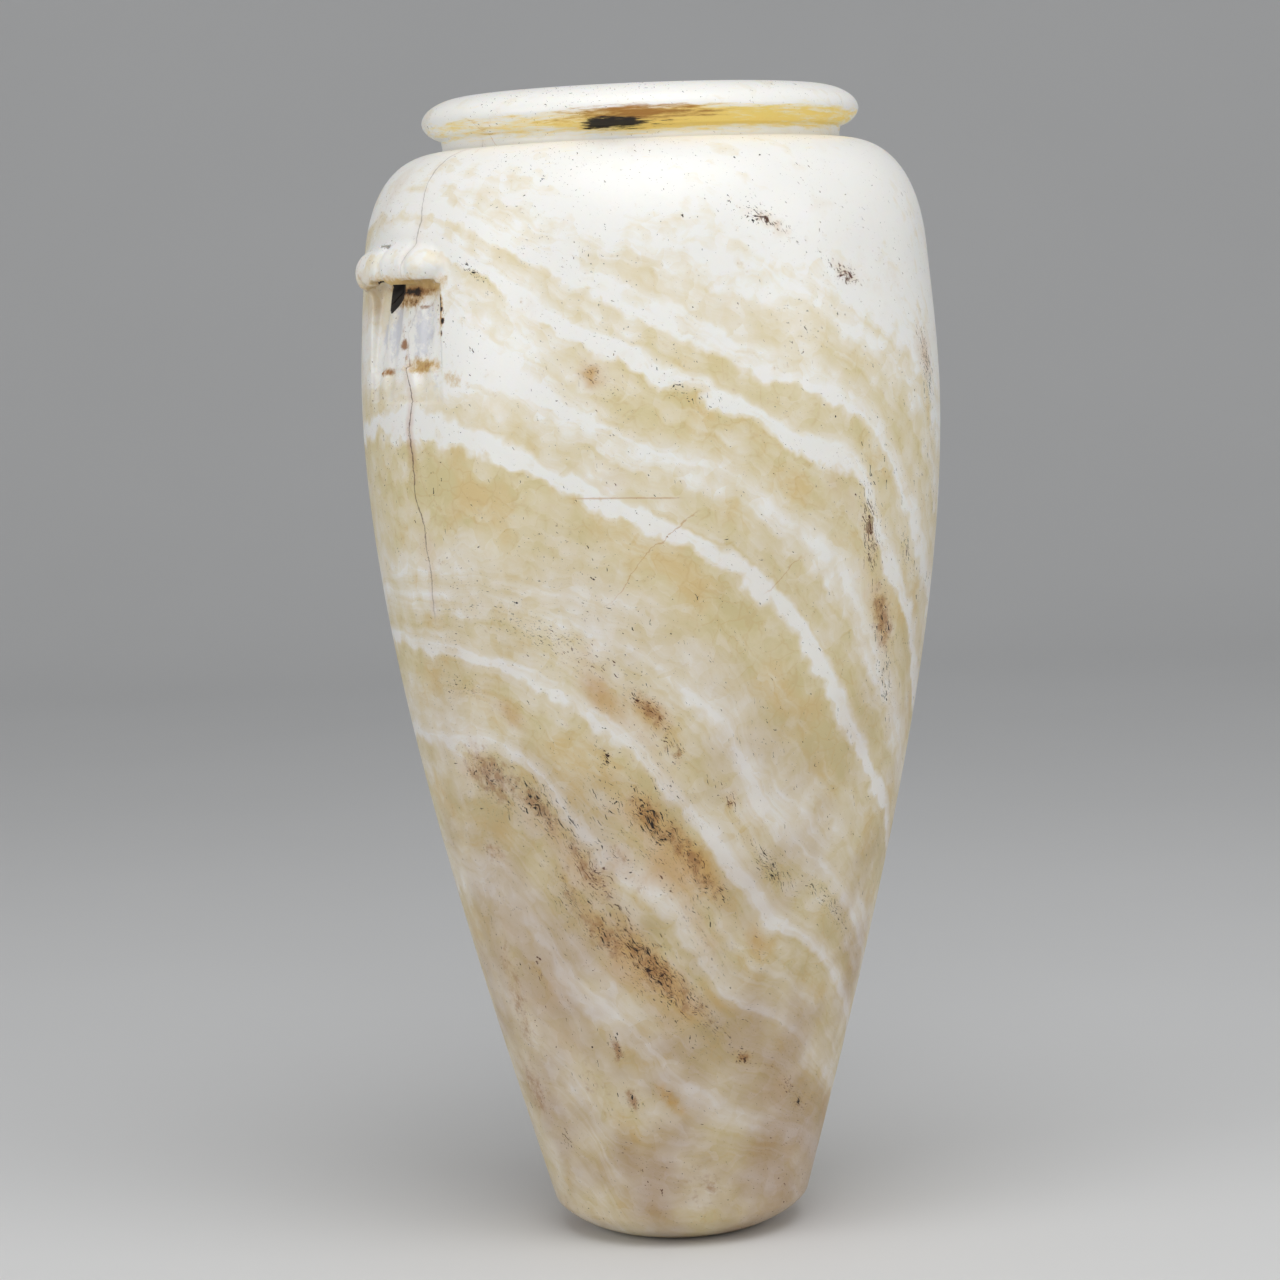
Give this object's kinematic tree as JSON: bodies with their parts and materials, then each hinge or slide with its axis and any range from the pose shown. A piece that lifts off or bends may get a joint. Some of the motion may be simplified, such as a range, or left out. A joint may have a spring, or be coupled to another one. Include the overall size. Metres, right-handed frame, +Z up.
{
  "type": "lug-handled jar",
  "caption": "Tall hollow stone jar tapering to a small flat base, with a rolled rim over a narrow neck and two opposed pierced lugs for a carrying cord.",
  "frame": {"origin": "middle of the flat underside, on the jar's axis", "axes": "+Z up along the jar's axis, out of the mouth; the two lugs lie on -X and +X"},
  "size_m": [0.2382, 0.2288, 0.4527],
  "materials": {
    "banded_calcite": "hand-ground, waxy"
  },
  "bodies": {
    "root": {"jar": "banded_calcite"}
  },
  "joints": []
}
